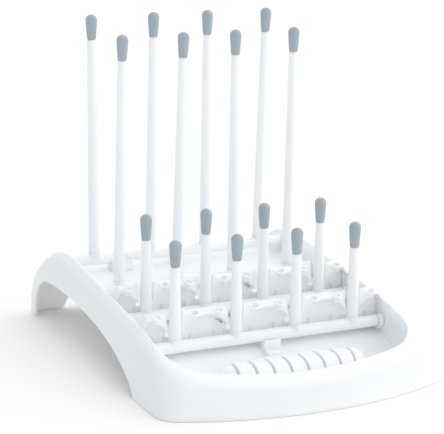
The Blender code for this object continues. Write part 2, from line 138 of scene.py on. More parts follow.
# Pegs and tips, along the peg from the bar's axis
LONG_TOP, SHORT_TOP = 0.2183, 0.0879
BOSS_TOP, PEG_FOOT = 0.0070, 0.00705
PEG_NECK_RADIUS, PEG_FOOT_RADIUS = 0.0039, 0.0050
SPIGOT_RADIUS, SPIGOT_FOOT, SOCKET_RADIUS = 0.0027, 0.0013, 0.0030
STEM_RADIUS, STEM_LENGTH = 0.0026, 0.0130
TIP_LENGTH, TIP_RADIUS, TIP_TAPER = 0.0214, 0.0050, 0.0011
TIP_GAP = 0.0003

MIX_FACTOR, MIX_A, MIX_B, MIX_RESULT = 0, 6, 7, 2  # a Mix node's colour sockets


def column_x(column):
    """Where a column of pegs stands, counted from 0 at the left."""
    return (column - (COLUMNS - 1) / 2) * COLUMN_PITCH


def bar_axis(row):
    """The (y, z) of a bar's axis in the CAD model."""
    low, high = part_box(f"bar_{row}")
    return (low.y + high.y) / 2, low.z + BAR_RADIUS


BAR = {row: bar_axis(row) for row in (1, 2, 3, 4)}


def smooth(value):
    """A soft step from 0 to 1."""
    value = min(max(value, 0.0), 1.0)
    return value * value * (3 - 2 * value)


# Mesh helpers ----------------------------------------------------------------


def piece_from(name, verts, faces, material, body, replaced, sharp=40):
    """A visible piece from vertices and faces."""
    mesh = bpy.data.meshes.new(name)
    mesh.from_pydata([tuple(v) for v in verts], [], faces)
    bm = bmesh.new()
    bm.from_mesh(mesh)
    bmesh.ops.remove_doubles(bm, verts=bm.verts, dist=1e-6)
    bmesh.ops.recalc_face_normals(bm, faces=bm.faces)
    bm.to_mesh(mesh)
    bm.free()
    finish_piece(name, mesh, material, body, replaced, sharp)


def finish_piece(name, mesh, material, body, replaced, sharp=40):
    """A visible piece from a mesh; edges sharper than this angle in degrees stay crisp."""
    piece = bpy.data.objects.new(name, mesh)
    bpy.context.scene.collection.objects.link(piece)
    mesh.materials.clear()
    mesh.materials.append(material)
    mesh.shade_smooth()
    mesh.set_sharp_from_angle(angle=math.radians(sharp))
    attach(piece, body)
    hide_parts(*replaced)


def loft(loops, joined=True, caps=False):
    """Vertices and faces of a loft through closed loops of the same count of points.

    joined leads from the last loop back to the first, and caps close the first and the last.
    """
    count = len(loops[0])
    verts = [p for loop in loops for p in loop]
    faces = []
    steps = len(loops) if joined else len(loops) - 1
    for k in range(steps):
        a, b = k * count, ((k + 1) % len(loops)) * count
        for i in range(count):
            j = (i + 1) % count
            faces.append((a + i, a + j, b + j, b + i))
    if caps:
        faces.append(tuple(reversed(range(count))))
        last = (len(loops) - 1) * count
        faces.append(tuple(last + i for i in range(count)))
    return verts, faces


def lathe(profile, sides=40):
    """A closed solid of revolution about Z; the profile runs from its top pole to its bottom."""
    verts, faces = [(0, 0, profile[0][1])], []
    rings = profile[1:-1]
    for radius, height in rings:
        for i in range(sides):
            angle = 2 * math.pi * i / sides
            verts.append((radius * math.cos(angle), radius * math.sin(angle), height))
    verts.append((0, 0, profile[-1][1]))
    for i in range(sides):
        j = (i + 1) % sides
        faces.append((0, 1 + i, 1 + j))
        for k in range(len(rings) - 1):
            a, b = 1 + k * sides, 1 + (k + 1) * sides
            faces.append((a + i, b + i, b + j, a + j))
        last = 1 + (len(rings) - 1) * sides
        faces.append((last + i, len(verts) - 1, last + j))
    return verts, faces


def moved(verts, matrix):
    """The vertices after this transform."""
    return [matrix @ Vector(v) for v in verts]


def solid(verts, faces):
    """A temporary object that a Boolean uses."""
    mesh = bpy.data.meshes.new("tool")
    mesh.from_pydata([tuple(v) for v in verts], [], faces)
    bm = bmesh.new()
    bm.from_mesh(mesh)
    bmesh.ops.remove_doubles(bm, verts=bm.verts, dist=1e-6)
    bmesh.ops.triangulate(bm, faces=[f for f in bm.faces if len(f.verts) > 4])
    bmesh.ops.recalc_face_normals(bm, faces=bm.faces)
    bm.to_mesh(mesh)
    bm.free()
    made = bpy.data.objects.new("tool", mesh)
    bpy.context.scene.collection.objects.link(made)
    return made


def boolean(base, steps):
    """The mesh of base after each (operation, tool) step; every temporary object is removed."""
    for operation, tool in steps:
        modifier = base.modifiers.new("step", "BOOLEAN")
        modifier.operation = operation
        modifier.solver = "EXACT"
        modifier.object = tool
    bpy.context.view_layer.update()
    evaluated = base.evaluated_get(bpy.context.evaluated_depsgraph_get())
    mesh = bpy.data.meshes.new_from_object(evaluated)
    for made in [base] + [tool for _, tool in steps]:
        bpy.data.objects.remove(made, do_unlink=True)
    return mesh


def tube(radius, start, end, sides=28):
    """The mesh data of a cylinder from start to end."""
    start, end = Vector(start), Vector(end)
    turn = Vector((0, 0, 1)).rotation_difference(end - start).to_matrix().to_4x4()
    length = (end - start).length
    verts, faces = lathe([(0, length), (radius, length), (radius, 0), (0, 0)], sides)
    return moved(verts, Matrix.Translation(start) @ turn), faces


def block(low, high):
    """A closed box from its corners."""
    (x0, y0, z0), (x1, y1, z1) = low, high
    verts = [(x, y, z) for x in (x0, x1) for y in (y0, y1) for z in (z0, z1)]
    faces = [(0, 1, 3, 2), (4, 6, 7, 5), (0, 4, 5, 1), (2, 3, 7, 6), (0, 2, 6, 4), (1, 5, 7, 3)]
    return verts, faces


def rounded_block(low, high, radius=0.0008):
    """The mesh data of a box with rounded edges."""
    bm = bmesh.new()
    verts, faces = block(low, high)
    made = [bm.verts.new(v) for v in verts]
    for face in faces:
        bm.faces.new([made[i] for i in face])
    bmesh.ops.recalc_face_normals(bm, faces=bm.faces)
    bmesh.ops.bevel(
        bm, geom=bm.edges[:], offset=radius, offset_type="OFFSET",
        segments=3, profile=0.5, affect="EDGES",
    )
    bm.verts.index_update()
    verts = [v.co.copy() for v in bm.verts]
    faces = [[v.index for v in face.verts] for face in bm.faces]
    bm.free()
    return verts, faces


# Materials -------------------------------------------------------------------


def plastic(name, colour, darker, roughness, grain, relief, sheen=0.0, depth=0.0):
    """Moulded plastic: cloudiness in colour and gloss, a fine grain, and some translucency."""
    material = bpy.data.materials.new(name)
    material.use_nodes = True
    tree = material.node_tree
    nodes, links = tree.nodes, tree.links
    shader = nodes["Principled BSDF"]
    shader.inputs["IOR"].default_value = 1.49
    shader.inputs["Sheen Weight"].default_value = sheen
    shader.inputs["Subsurface Weight"].default_value = depth
    shader.inputs["Subsurface Radius"].default_value = (1.0, 1.0, 1.0)
    shader.inputs["Subsurface Scale"].default_value = 0.005
    where = nodes.new("ShaderNodeTexCoord")
    cloud = nodes.new("ShaderNodeTexNoise")
    cloud.inputs["Scale"].default_value = 22.0
    cloud.inputs["Detail"].default_value = 4.0
    links.new(where.outputs["Object"], cloud.inputs["Vector"])
    tint = nodes.new("ShaderNodeMix")
    tint.data_type = "RGBA"
    tint.inputs[MIX_A].default_value = colour
    tint.inputs[MIX_B].default_value = darker
    links.new(cloud.outputs["Fac"], tint.inputs[MIX_FACTOR])
    links.new(tint.outputs[MIX_RESULT], shader.inputs["Base Color"])
    gloss = nodes.new("ShaderNodeMapRange")
    gloss.inputs["To Min"].default_value = roughness - 0.06
    gloss.inputs["To Max"].default_value = roughness + 0.08
    links.new(cloud.outputs["Fac"], gloss.inputs["Value"])
    links.new(gloss.outputs["Result"], shader.inputs["Roughness"])
    fine = nodes.new("ShaderNodeTexNoise")
    fine.inputs["Scale"].default_value = grain
    fine.inputs["Detail"].default_value = 3.0
    links.new(where.outputs["Object"], fine.inputs["Vector"])
    bump = nodes.new("ShaderNodeBump")
    bump.inputs["Strength"].default_value = 0.35
    bump.inputs["Distance"].default_value = relief
    links.new(fine.outputs["Fac"], bump.inputs["Height"])
    links.new(bump.outputs["Normal"], shader.inputs["Normal"])
    return material


white = plastic(
    "moulded_white", (0.952, 0.958, 0.968, 1), (0.932, 0.938, 0.948, 1),
    roughness=0.40, grain=1400.0, relief=0.00004, depth=0.50,
)
deck_white = plastic(
    "deck_white", (0.952, 0.958, 0.968, 1), (0.932, 0.938, 0.948, 1),
    roughness=0.40, grain=1400.0, relief=0.00004,
)
peg_white = plastic(
    "peg_white", (0.910, 0.918, 0.930, 1), (0.895, 0.903, 0.915, 1),
    roughness=0.34, grain=1600.0, relief=0.00003, depth=0.25,
)
grey = plastic(
    "soft_grey", (0.285, 0.350, 0.392, 1), (0.258, 0.318, 0.358, 1),
    roughness=0.62, grain=2200.0, relief=0.00006, sheen=0.15,
)


# Frame shell -----------------------------------------------------------------


def arc(centre, radius, start, end, steps):
    """Points along an arc between two angles in degrees."""
    angles = [math.radians(start + (end - start) * i / steps) for i in range(steps + 1)]
    return [(centre[0] + radius * math.cos(a), centre[1] + radius * math.sin(a)) for a in angles]


def half_outline(half_width, front, rear, front_radius, rear_radius):
    """The right half of a bow-fronted outline, from the rear middle to the front middle."""
    bow_y = front + FRONT_BOW_RADIUS
    corner_x = half_width - front_radius
    corner_y = bow_y - math.sqrt((FRONT_BOW_RADIUS - front_radius) ** 2 - corner_x**2)
    join = math.degrees(math.atan2(corner_y - bow_y, corner_x))
    side_start = rear - rear_radius
    points = [((half_width - rear_radius) * i / REAR_STEPS, rear) for i in range(REAR_STEPS)]
    points += arc((half_width - rear_radius, side_start), rear_radius, 90, 0, REAR_CORNER_STEPS)
    for i in range(1, SIDE_STEPS + 1):
        blend = (1 - math.cos(math.pi * i / SIDE_STEPS)) / 2
        points.append((half_width, side_start + (SIDE_ARCH_FRONT_Y - side_start) * blend))
    for i in range(1, LEAD_STEPS):
        ahead = (corner_y - SIDE_ARCH_FRONT_Y) * i / LEAD_STEPS
        points.append((half_width, SIDE_ARCH_FRONT_Y + ahead))
    points += arc((corner_x, corner_y), front_radius, 0, join, FRONT_CORNER_STEPS)
    points += arc((0, bow_y), FRONT_BOW_RADIUS, join, -90, BOW_STEPS)[1:]
    return points


def full_loop(half):
    """The whole outline: the right half and its mirror image."""
    return half + [(-x, y) for x, y in reversed(half[1:-1])]


def rim_height(x, y):
    """Height of the rim above the floor; the rear bridge is lower than the rear corners."""
    height = RIM_HEIGHT_AT_MIDDLE + RIM_SLOPE * y
    height -= (
        max(y - RIM_REAR_SAG_Y, 0) ** 2 / RIM_REAR_SAG_LENGTH
        + max(RIM_FRONT_SAG_Y - y, 0) ** 2 / RIM_FRONT_SAG_LENGTH
    )
    if y > RIM_REAR - RIM_REAR_RADIUS:
        across = smooth((RIM_HALF_WIDTH - abs(x)) / (RIM_HALF_WIDTH - REAR_BRIDGE_HALF_WIDTH))
        height += (REAR_BRIDGE_HEIGHT - height) * across
    return height


def arch(along, power):
    """The rise of an arch, 1 at its crown and 0 at its ends."""
    return max(1 - abs(along) ** power, 0) ** ARCH_ROUNDNESS


def lower_edge(x, y):
    """Height of the frame's lower edge: an arch in each side and in the rear, else the floor."""
    if y > FOOT_REAR - NEAR_EDGE:
        return REAR_ARCH_HEIGHT * arch(abs(x) / REAR_ARCH_HALF_WIDTH, REAR_ARCH_POWER)
    if abs(x) < FOOT_HALF_WIDTH - NEAR_EDGE:
        return 0
    if y > SIDE_ARCH_CROWN_Y:
        along = (y - SIDE_ARCH_CROWN_Y) / (SIDE_ARCH_REAR_Y - SIDE_ARCH_CROWN_Y)
        return SIDE_ARCH_HEIGHT * arch(along, SIDE_ARCH_REAR_POWER)
    along = (SIDE_ARCH_CROWN_Y - y) / (SIDE_ARCH_CROWN_Y - SIDE_ARCH_FRONT_Y)
    return SIDE_ARCH_HEIGHT * arch(along, SIDE_ARCH_FRONT_POWER)


def deck_height(y):
    """The sloping floor lies a fixed drop below the line through the bars' axes."""
    slope = (BAR[2][1] - BAR[4][1]) / (BAR[2][0] - BAR[4][0])
    return BAR[2][1] + slope * (y - BAR[2][0]) - DECK_DROP


def inward(loop, distance):
    """The loop moved towards its inside."""
    points = []
    for i, (x, y) in enumerate(loop):
        before, after = loop[i - 1], loop[(i + 1) % len(loop)]
        along = Vector((after[0] - before[0], after[1] - before[1])).normalized()
        points.append((x + along.y * distance, y - along.x * distance))
    return points


RIM = full_loop(half_outline(
    RIM_HALF_WIDTH, RIM_FRONT, RIM_REAR, RIM_FRONT_RADIUS, RIM_REAR_RADIUS,
))
FOOT = full_loop(half_outline(
    FOOT_HALF_WIDTH, FOOT_FRONT, FOOT_REAR, FOOT_FRONT_RADIUS, FOOT_REAR_RADIUS,
))


def frame_shell():
    """The frame as one closed loft: outer skin, rounded rim, inner wall, and the cavity's skin."""
    top = [rim_height(*point) for point in RIM]
    low = [lower_edge(*point) for point in FOOT]
    cavity = [z - CAVITY_DEPTH for z in top]
    wall_end = []
    for (x, y), z in zip(RIM, top):
        deck = deck_height(y) if y > DECK_STEP_Y else BASIN_FLOOR
        lowest = z - CAVITY_DEPTH - LEAST_WALL_BELOW_CAVITY
        wall_end.append(min(deck - INNER_WALL_BELOW_DECK, lowest))

    def skin(upper, share, lift=0.0):
        """The outer skin at a share of the way from the lower edge to these upper heights."""
        heights = [a + (b - a) * share + lift for a, b in zip(low, upper)]
        points = []
        for rim, foot, height, full in zip(RIM, FOOT, heights, top):
            behind = smooth((rim[1] - REAR_FLARE_START) / REAR_FLARE_LENGTH)
            power = FLARE_POWER + REAR_FLARE_EXTRA * behind
            out = 1 - (max(height, 0) / full) ** power
            points.append((rim[0] + (foot[0] - rim[0]) * out, rim[1] + (foot[1] - rim[1]) * out))
        return points, heights

    def raised(points, heights):
        return [(x, y, z) for (x, y), z in zip(points, heights)]

    loops = []
    round_top = RIM_WIDTH / 2
    shoulder = [z - round_top * RIM_CROWN for z in top]
    points, heights = skin(shoulder, 0)
    corner = EDGE_ROUNDING * 0.3
    loops.append(raised(inward(points, EDGE_ROUNDING), heights))
    loops.append(raised(inward(points, corner), [z + corner for z in heights]))
    for i in range(1, SKIN_STEPS + 1):
        share = i / SKIN_STEPS
        points, heights = skin(shoulder, share, EDGE_ROUNDING * (1 - share))
        loops.append(raised(points, heights))
    for step in range(1, CROWN_STEPS + 1):
        angle = math.pi * step / CROWN_STEPS
        sideways = round_top * (1 - math.cos(angle))
        upward = round_top * RIM_CROWN * math.sin(angle)
        loops.append(raised(inward(RIM, sideways), [z + upward for z in shoulder]))
    loops.append(raised(inward(RIM, RIM_WIDTH), wall_end))
    loops.append(raised(inward(RIM, CAVITY_SIDE), wall_end))
    loops.append(raised(inward(RIM, CAVITY_SIDE), cavity))
    for i in range(CAVITY_STEPS, -1, -1):
        points, heights = skin(cavity, i / CAVITY_STEPS)
        loops.append(raised(inward(points, WALL), heights))
    shell = solid(*loft(loops))
    steps = []
    for y, z in BAR.values():
        for side in (-1, 1):
            start = (side * (RIM_HALF_WIDTH - PIVOT_HOLE_INSIDE), y, z)
            end = (side * (RIM_HALF_WIDTH + PIVOT_HOLE_OUTSIDE), y, z)
            steps.append(("DIFFERENCE", solid(*tube(PIVOT_HOLE_RADIUS, start, end))))
    mesh = boolean(shell, steps)
    finish_piece("frame_shell", mesh, white, "frame", ["base_frame"], 50)


frame_shell()


# Deck ------------------------------------------------------------------------

DECK_EDGE = inward(RIM, RIM_WIDTH - DECK_LAP)
EDGE_POINTS = np.array(DECK_EDGE)


def edge_distance(points):
    """Distance from each point to the deck's outline."""
    start = EDGE_POINTS
    along = np.roll(start, -1, axis=0) - start
    best = np.full(len(points), np.inf)
    for origin, step in zip(start, along):
        share = np.clip(((points - origin) @ step) / max(step @ step, 1e-12), 0, 1)
        best = np.minimum(best, np.hypot(*(points - origin - share[:, None] * step).T))
    return best


def half_width_at(y):
    """Half width of the deck's outline at this y."""
    right = [p for p in DECK_EDGE if p[0] >= -1e-6]
    best = 0.0
    for (x0, y0), (x1, y1) in zip(right, right[1:]):
        if min(y0, y1) - 1e-9 <= y <= max(y0, y1) + 1e-9:
            share = 0.5 if abs(y1 - y0) < 1e-9 else (y - y0) / (y1 - y0)
            best = max(best, x0 + (x1 - x0) * share)
    return best


def floor_height(x, y, distance):
    """The deck's surface: sloping floor, soft step, and a dished basin with a fillet all round."""
    step = smooth((y - RAMP_FOOT_Y) / (RAMP_TOP_Y - RAMP_FOOT_Y))
    slope = deck_height(max(y, DECK_STEP_Y))
    height = BASIN_FLOOR + (slope - BASIN_FLOOR) * step
    fillet = DECK_FILLET + BASIN_FILLET_EXTRA * (1 - step)
    if distance < fillet:
        room = 1 - distance / fillet
        height += min(fillet, FILLET_RISE) * (1 - math.sqrt(max(1 - room * room, 0)))
    return height


def deck_floor():
    """The deck as a closed sheet on a grid that is denser towards its edges."""
    front, rear = min(p[1] for p in DECK_EDGE), max(p[1] for p in DECK_EDGE)
    stations = set()
    for i in range(DECK_STATIONS + 1):
        share = (1 - math.cos(math.pi * i / DECK_STATIONS)) / 2
        stations.add(round(front + (rear - front) * share, 6))
    margin = 0.00002
    stations = sorted(y for y in stations if front + margin < y < rear - margin)
    across = DECK_COLUMNS
    shares = []
    for i in range(across + 1):
        t = 2 * i / across - 1
        shares.append(math.copysign(1 - (1 - abs(t)) ** DECK_CROWDING, t))
    grid = [[(half_width_at(y) * t, y) for t in shares] for y in stations]
    flat = np.array([p for row in grid for p in row])
    distance = edge_distance(flat)
    top = [(x, y, floor_height(x, y, d)) for (x, y), d in zip(flat, distance)]
    bottom = [(x, y, z - DECK_THICKNESS) for x, y, z in top]
    wide = across + 1
    verts, faces = top + bottom, []
    under = len(top)
    rows = len(stations)
    for r in range(rows - 1):
        for c in range(across):
            a = r * wide + c
            faces.append((a, a + 1, a + wide + 1, a + wide))
            faces.append((under + a, under + a + wide, under + a + wide + 1, under + a + 1))
    ring = list(range(wide))
    ring += [r * wide + across for r in range(1, rows)]
    ring += [(rows - 1) * wide + c for c in range(across - 1, -1, -1)]
    ring += [r * wide for r in range(rows - 2, 0, -1)]
    for a, b in zip(ring, ring[1:] + ring[:1]):
        faces.append((a, under + a, under + b, b))
    piece_from("deck_floor", verts, faces, deck_white, "frame", ["drip_deck"], 50)


deck_floor()


def arcade_section(u, x, row_y, row_z):
    """One closed (y, z) section of a bay of the arcade wall, at u across the bay."""
    side = min(abs(u) / BAY_REACH, 1)
    recede = smooth((side * BAY_REACH - RING_X) / (BAY_REACH - RING_X))
    front = HOOD_FRONT + (HOOD_EDGE - HOOD_FRONT) * recede
    niche = NICHE_EDGE + (NICHE_BACK - NICHE_EDGE) * (1 - side**2)
    back = niche + SHEET
    lip_start = RING_X + LIP_FROM_RING
    lift = max((side * BAY_REACH - lip_start) / (BAY_REACH - lip_start), 0) ** LIP_POWER
    level = ARCADE_TOP - max(abs(x) - END_CORNER_X, 0) * END_CORNER_SLOPE
    top = level + (LIP_TOP - ARCADE_TOP) * lift
    top_back = level - LIP_BACK_DROP * lift
    arch_z = ARCH_SHOULDER + (ARCH_CROWN - ARCH_SHOULDER) * (1 - side**ARCH_SHAPE)
    arch_z = min(arch_z, top - LEAST_HOOD)
    foot = -DECK_DROP - ROOT
    r = HOOD_ROUNDING
    behind = [(back, foot + (top_back - r - foot) * i / WALL_LEVELS) for i in range(WALL_LEVELS)]
    niche_top = arch_z - 1.2 * r
    inside = [
        (niche, niche_top + (foot - niche_top) * i / WALL_LEVELS)
        for i in range(1, WALL_LEVELS + 1)
    ]
    hood = [
        (back, top_back - r), (back - 0.3 * r, top_back - 0.3 * r), (back - r, top_back),
        (front + r, top), (front + 0.3 * r, top - 0.3 * r), (front, top - r),
        (front, arch_z + r), (front + 0.3 * r, arch_z + 0.3 * r), (front + r, arch_z),
        (niche - 0.2 * r, arch_z - 0.2 * r), (niche, niche_top),
    ]
    return [(row_y + y, row_z + z) for y, z in behind + hood + inside]


def slot_half_width(row, z):
    """Half width of the opening behind a peg: straight below, and wider between its lips."""
    share = smooth((z - SLOT_FLARE_Z) / (SLOT_FLARE_TOP_Z - SLOT_FLARE_Z))
    return SLOT_HALF_FOOT[row] + (SLOT_HALF_TOP - SLOT_HALF_FOOT[row]) * share


def arcade_bay(row, centre, left=-1.0, right=1.0):
    """One bay of the wall; left and right are -1 and 1, or nearer 0 where a side wall cuts it."""
    row_y, row_z = BAR[row]
    steps = BAY_STEPS
    loops = []
    for i in range(steps + 1):
        u = BAY_REACH * (left + (right - left) * i / steps)
        loop = []
        for y, z in arcade_section(u, centre + u, row_y, row_z):
            shift = u
            if not ((u < 0 and left > -1) or (u > 0 and right < 1)):
                shift *= (BAY_HALF_WIDTH - slot_half_width(row, z - row_z)) / BAY_REACH
            loop.append((centre + shift, y, z))
        loops.append(loop)
    verts, faces = loft(loops, joined=False)
    count = len(loops[0])
    last = steps * count
    for start, order in ((0, -1), (last, 1)):
        for i in range(WALL_LEVELS):
            inner = (count - 1 - i, count - 2 - i)
            faces.append([start + k for k in (i, i + 1, inner[1], inner[0])][::order])
        hood = range(WALL_LEVELS, count - WALL_LEVELS)
        for k in range(1, len(hood) - 1):
            faces.append([start + hood[0], start + hood[k], start + hood[k + 1]][::order])
    return verts, faces


def ring_place(x, side, row_y, row_z):
    """Where an eyelet goes: on the hood's front edge, tilted back and outwards."""
    back = Matrix.Rotation(math.radians(RING_TILT_BACK), 4, "X")
    out = Matrix.Rotation(math.radians(RING_TILT_OUT * side), 4, "Y")
    return Matrix.Translation((x, row_y + HOOD_FRONT, row_z + ARCADE_TOP)) @ back @ out


def ring_body(x, side, row_y, row_z):
    """The solid of a small eyelet at the arcade's top edge, tapering below."""
    r = RING_RADIUS
    profile = [
        (0, 0.0005), (r - 0.0009, 0.0005), (r - 0.0003, 0.0002), (r, -0.0004),
        (r - 0.0002, -0.0010), (r - 0.0014, -0.0026), (0.0014, -0.0066), (0, -0.0072),
    ]
    verts, faces = lathe(profile, 36)
    return moved(verts, ring_place(x, side, row_y, row_z)), faces


def ring_bore(x, side, row_y, row_z):
    """The blind bore of an eyelet."""
    above, throat, bottom = 0.0030, -0.0004, -0.0046
    profile = [
        (0, above), (RING_BORE, above), (RING_BORE, throat),
        (RING_BORE * 0.7, bottom), (0, bottom),
    ]
    verts, faces = lathe(profile, 32)
    return moved(verts, ring_place(x, side, row_y, row_z)), faces


def latch_part(low, high, centre, row_y, row_z):
    """A slanting block on a bay's right shoulder: the latch's pocket, or the wall round it."""
    verts, faces = block(low, high)
    place = Matrix.Translation((centre + LATCH_X, row_y, row_z + LATCH_Z))
    return moved(verts, place @ Matrix.Rotation(math.radians(LATCH_SLANT), 4, "Y")), faces


def slot_sill(row, column):
    """The low wall that closes the foot of the opening behind a peg."""
    row_y, row_z = BAR[row]
    x = column_x(column)
    reach = SLOT_HALF_TOP + 0.001
    low = (x - reach, row_y + NICHE_EDGE, row_z - DECK_DROP - ROOT)
    high = (x + reach, row_y + NICHE_EDGE + SHEET, row_z + SILL_TOP[row])
    verts, faces = rounded_block(low, high, HOOD_ROUNDING)
    name = f"slot_sill_{row}_{column + 1}"
    piece_from(name, verts, faces, white, "frame", ["drip_deck"], 40)


def arcade(row):
    """The wall behind a bar: five bays with eyelets and notches, and a latch in one of them."""
    row_y, row_z = BAR[row]
    for bay in range(-2, 3):
        centre = bay * COLUMN_PITCH
        left = max(-1.0, (-SIDE_WALL_X - centre) / BAY_REACH)
        right = min(1.0, (SIDE_WALL_X - centre) / BAY_REACH)
        base = solid(*arcade_bay(row, centre, left, right))
        steps = []
        limit = SIDE_WALL_X - RING_FROM_SIDE_WALL
        sides = [side for side in (-1, 1) if abs(centre + side * RING_X) < limit]
        for side in sides:
            steps.append(("UNION", solid(*ring_body(centre + side * RING_X, side, row_y, row_z))))
        for side in sides:
            x = centre + side * RING_X
            steps.append(("DIFFERENCE", solid(*ring_bore(x, side, row_y, row_z))))
            low = (x - NOTCH_HALF_WIDTH, row_y + NOTCH_FRONT, row_z + NOTCH_LOW)
            high = (x + NOTCH_HALF_WIDTH, row_y + NOTCH_BACK, row_z + NOTCH_HIGH)
            steps.append(("DIFFERENCE", solid(*block(low, high))))
        if bay == LATCH_BAY[row]:
            place = (centre, row_y, row_z)
            wall = latch_part(*LATCH_WALL, *place)
            pocket = latch_part(*LATCH_POCKET, *place)
            steps.insert(0, ("UNION", solid(*wall)))
            steps.append(("DIFFERENCE", solid(*pocket)))
        mesh = boolean(base, steps)
        name = f"arcade_{row}_{bay + 3}"
        finish_piece(name, mesh, white, "frame", ["drip_deck"], 40)


for arcade_row in (3, 4):
    arcade(arcade_row)
    for sill_column in range(COLUMNS):
        slot_sill(arcade_row, sill_column)


def mound():
    """The low pill-shaped mound in the basin, with drain slots across it."""
    height = MOUND_TOP - BASIN_FLOOR
    loops = []
    count, levels = 120, 16
    for k in range(levels):
        rise = math.sin(math.pi / 2 * k / levels)
        share = math.cos(math.pi / 2 * k / levels) ** MOUND_SHOULDER_POWER
        loop = []
        for i in range(count):
            angle = 2 * math.pi * i / count
            x = math.copysign(abs(math.cos(angle)) ** MOUND_END_POWER, math.cos(angle))
            y = math.copysign(abs(math.sin(angle)) ** MOUND_SIDE_POWER, math.sin(angle))
            reach = MOUND_HALF_LENGTH - MOUND_HALF_DEPTH * (1 - share)
            across = MOUND_Y + y * MOUND_HALF_DEPTH * share
            loop.append((x * reach, across, BASIN_FLOOR + height * rise))
        loops.append(loop)
    loops.insert(0, [(x, y, BASIN_FLOOR - BASIN_ROOT) for x, y, z in loops[0]])
    base = solid(*loft(loops, joined=False, caps=True))
    steps = []
    for i in range(MOUND_SLOTS):
        x = (i - (MOUND_SLOTS - 1) / 2) * MOUND_SLOT_PITCH
        low = (x - MOUND_SLOT_HALF_WIDTH, MOUND_Y - 0.03, MOUND_SLOT_FLOOR)
        high = (x + MOUND_SLOT_HALF_WIDTH, MOUND_Y + 0.0050, MOUND_TOP + 0.01)
        steps.append(("DIFFERENCE", solid(*block(low, high))))
    mesh = boolean(base, steps)
    finish_piece("basin_mound", mesh, white, "frame", ["drip_deck"], 40)


mound()


def cradle(name, row, x, half_width, foot_z, lip=0.0015, depth=0.0070):
    """A post under a bar with a round seat; it ends this lip above the bar's axis."""
    y, z = BAR[row]
    low, high = (x - half_width, y - depth, foot_z), (x + half_width, y + depth, z + lip)
    base = solid(*rounded_block(low, high))
    reach = half_width + 0.002
    seat = solid(*tube(SEAT_RADIUS, (x - reach, y, z), (x + reach, y, z), 40))
    mesh = boolean(base, [("DIFFERENCE", seat)])
    finish_piece(name, mesh, white, "frame", ["drip_deck"], 35)


for cradle_row in (1, 2, 3):
    floor_z = deck_height(BAR[cradle_row][0]) - ROOT
    cradle(f"bar_clip_{cradle_row}", cradle_row, 0, 0.0040, floor_z)
cradle("bar_clip_1_left", 1, -0.0560, 0.0100, deck_height(BAR[1][0]) - ROOT, lip=-0.0010)
cradle("bar_clip_4", 4, 0.0031, 0.0075, BASIN_FLOOR - BASIN_ROOT, lip=-0.0028, depth=0.0072)


def clip_foot():
    """The low block in front of the front bar's clip."""
    y = BAR[4][0]
    low, high = (-0.0044, y - 0.0150, BASIN_FLOOR - BASIN_ROOT), (0.0106, y - 0.0055, 0.0190)
    verts, faces = rounded_block(low, high, 0.0015)
    piece_from("bar_clip_4_foot", verts, faces, white, "frame", ["drip_deck"], 40)


clip_foot()


def end_collar(row, side):
    """An open collar on the side wall round the end of a bar, with a groove next to the wall."""
    y, z = BAR[row]
    outer, neck, inner = 0.0070, 0.0058, SEAT_RADIUS
    start, end = math.radians(115), math.radians(395)
    groove_x, edge_x = SIDE_WALL_X - 0.0013, SIDE_WALL_X - 0.0048
    section = (
        (inner, SIDE_WALL_X), (neck, SIDE_WALL_X), (neck, groove_x), (outer, groove_x),
        (outer, edge_x), (inner, edge_x),
    )
    loops = []
    steps = 40
    for i in range(steps + 1):
        angle = start + (end - start) * i / steps
        across, up = math.cos(angle), math.sin(angle)
        loops.append([(side * x, y + radius * across, z + radius * up) for radius, x in section])
    verts, faces = loft(loops, joined=False, caps=True)
    name = f"bar_collar_{row}_{'left' if side < 0 else 'right'}"
    piece_from(name, verts, faces, white, "frame", ["drip_deck"], 35)


for collar_row in BAR:
    for collar_side in (-1, 1):
        end_collar(collar_row, collar_side)


# Bars, pegs and tips ---------------------------------------------------------


def bar(row):
    """A bar with a boss and a socket for each peg, and a thin pivot through its whole length."""
    y, z = BAR[row]
    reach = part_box(f"bar_{row}")[1].x
    half = RIM_HALF_WIDTH - BAR_END_GAP
    r = BAR_RADIUS
    profile = [(0, half), (r - 0.0006, half), (r - 0.0002, half - 0.0002), (r, half - 0.0006)]
    profile += [(radius, -height) for radius, height in reversed(profile[1:])] + [(0, -half)]
    verts, faces = lathe(profile, 48)
    turn = Matrix.Rotation(math.radians(90), 4, "Y")
    place = Matrix.Translation((0, y, z))
    base = solid(moved(verts, place @ turn), faces)
    steps = [("UNION", solid(*tube(PIVOT_RADIUS, (-reach, y, z), (reach, y, z), 32)))]
    boss = [
        (0, BOSS_TOP), (0.0049, BOSS_TOP), (0.0052, BOSS_TOP - 0.0004),
        (0.0053, 0.0050), (0.0052, 0), (0, 0),
    ]
    verts, faces = lathe(boss, 40)
    places = [column_x(column) for column in range(COLUMNS)]
    for x in places:
        steps.append(("UNION", solid(moved(verts, Matrix.Translation((x, y, z))), faces)))
    for x in places:
        socket = tube(SOCKET_RADIUS, (x, y, z + 0.0010), (x, y, z + 0.0100), 32)
        steps.append(("DIFFERENCE", solid(*socket)))
    mesh = boolean(base, steps)
    name, body = f"cross_bar_{row}", f"row_{row}"
    finish_piece(name, mesh, white, body, [f"bar_{row}"], 40)


